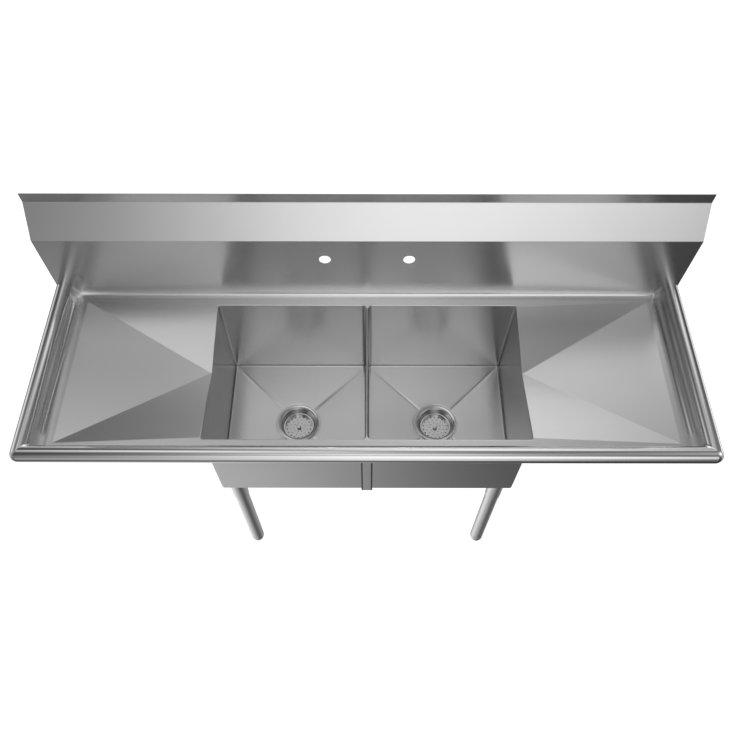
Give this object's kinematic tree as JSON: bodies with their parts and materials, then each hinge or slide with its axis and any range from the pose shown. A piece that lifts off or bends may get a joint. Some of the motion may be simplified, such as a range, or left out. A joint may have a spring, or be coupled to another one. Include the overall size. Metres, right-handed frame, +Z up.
{
  "type": "two-compartment commercial kitchen sink",
  "caption": "Stainless steel floor-standing utility sink with bowls, drainboards, rolled rim, backsplash with faucet holes, basket strainers and adjustable feet on round legs.",
  "frame": {"origin": "on the floor under the middle of the overall box", "axes": "+X to the right seen from the front, +Y back to the wall, +Z up"},
  "size_m": [1.569, 0.532, 1.1],
  "materials": {
    "deck_steel": "satin",
    "bowl_steel": "satin",
    "rim_steel": "polished",
    "leg_steel": "satin",
    "drain_steel": "polished",
    "nut_metal": "satin",
    "screw_steel": "plain",
    "insert_plastic": "matte",
    "washer_fibre": "matte",
    "gasket_rubber": "matte",
    "black_rubber": "matte"
  },
  "bodies": {
    "sink": {"backsplash": "deck_steel", "divider_ridge": "deck_steel", "front_cover_strip": "deck_steel", "front_left_leg": "leg_steel", "front_left_leg_insert": "insert_plastic", "front_left_leg_socket": "leg_steel", "front_left_rim_corner": "rim_steel", "front_right_leg": "leg_steel", "front_right_leg_insert": "insert_plastic", "front_right_leg_socket": "leg_steel", "front_right_rim_corner": "rim_steel", "front_rim": "rim_steel", "left_bowl": "bowl_steel", "left_drainboard": "deck_steel", "left_flange_gasket": "gasket_rubber", "left_friction_washer": "washer_fibre", "left_locknut": "nut_metal", "left_rim": "rim_steel", "left_rubber_washer": "black_rubber", "left_strainer_body": "drain_steel", "leg_set_screws": "screw_steel", "rear_cover_strip": "deck_steel", "rear_left_leg": "leg_steel", "rear_left_leg_insert": "insert_plastic", "rear_left_leg_socket": "leg_steel", "rear_right_leg": "leg_steel", "rear_right_leg_insert": "insert_plastic", "rear_right_leg_socket": "leg_steel", "right_bowl": "bowl_steel", "right_drainboard": "deck_steel", "right_flange_gasket": "gasket_rubber", "right_friction_washer": "washer_fibre", "right_locknut": "nut_metal", "right_rim": "rim_steel", "right_rubber_washer": "black_rubber", "right_strainer_body": "drain_steel"},
    "left_basket_cup": {"left_basket": "drain_steel"},
    "left_stopper_knob": {"left_knob_post": "drain_steel", "left_stopper": "black_rubber"},
    "right_basket_cup": {"right_basket": "drain_steel"},
    "right_stopper_knob": {"right_knob_post": "drain_steel", "right_stopper": "black_rubber"},
    "front_left_stem": {"front_left_foot_stem": "leg_steel"},
    "front_left_bullet_foot": {"front_left_foot": "leg_steel"},
    "front_right_stem": {"front_right_foot_stem": "leg_steel"},
    "front_right_bullet_foot": {"front_right_foot": "leg_steel"},
    "rear_left_stem": {"rear_left_foot_stem": "leg_steel"},
    "rear_left_bullet_foot": {"rear_left_foot": "leg_steel"},
    "rear_right_stem": {"rear_right_foot_stem": "leg_steel"},
    "rear_right_bullet_foot": {"rear_right_foot": "leg_steel"}
  },
  "joints": [
    {"name": "left_basket_lift", "type": "slide", "parent": "sink", "child": "left_basket_cup", "axis": [0, 0, 1], "range_m": [0, 0.66]},
    {"name": "left_stopper_lift", "type": "slide", "parent": "left_basket_cup", "child": "left_stopper_knob", "axis": [0, 0, 1], "range_m": [0, 0.01]},
    {"name": "right_basket_lift", "type": "slide", "parent": "sink", "child": "right_basket_cup", "axis": [0, 0, 1], "range_m": [0, 0.66]},
    {"name": "right_stopper_lift", "type": "slide", "parent": "right_basket_cup", "child": "right_stopper_knob", "axis": [0, 0, 1], "range_m": [0, 0.01]},
    {"name": "front_left_stem_slide", "type": "slide", "parent": "sink", "child": "front_left_stem", "axis": [0, 0, -1], "range_m": [0, 0.0254]},
    {"name": "front_left_foot_spin", "type": "hinge", "parent": "front_left_stem", "child": "front_left_bullet_foot", "pos_m": [-0.35, -0.16, 0], "axis": [0, 0, 1], "range_deg": [0, 3600]},
    {"name": "front_right_stem_slide", "type": "slide", "parent": "sink", "child": "front_right_stem", "axis": [0, 0, -1], "range_m": [0, 0.0254]},
    {"name": "front_right_foot_spin", "type": "hinge", "parent": "front_right_stem", "child": "front_right_bullet_foot", "pos_m": [0.35, -0.16, 0], "axis": [0, 0, 1], "range_deg": [0, 3600]},
    {"name": "rear_left_stem_slide", "type": "slide", "parent": "sink", "child": "rear_left_stem", "axis": [0, 0, -1], "range_m": [0, 0.0254]},
    {"name": "rear_left_foot_spin", "type": "hinge", "parent": "rear_left_stem", "child": "rear_left_bullet_foot", "pos_m": [-0.35, 0.1508, 0], "axis": [0, 0, 1], "range_deg": [0, 3600]},
    {"name": "rear_right_stem_slide", "type": "slide", "parent": "sink", "child": "rear_right_stem", "axis": [0, 0, -1], "range_m": [0, 0.0254]},
    {"name": "rear_right_foot_spin", "type": "hinge", "parent": "rear_right_stem", "child": "rear_right_bullet_foot", "pos_m": [0.35, 0.1508, 0], "axis": [0, 0, 1], "range_deg": [0, 3600]}
  ],
  "couplings": [
    {"joint": "front_left_foot_spin", "follows": "front_left_stem_slide", "rad_per_m": 2473.7},
    {"joint": "front_right_foot_spin", "follows": "front_right_stem_slide", "rad_per_m": 2473.7},
    {"joint": "rear_left_foot_spin", "follows": "rear_left_stem_slide", "rad_per_m": 2473.7},
    {"joint": "rear_right_foot_spin", "follows": "rear_right_stem_slide", "rad_per_m": 2473.7}
  ]
}
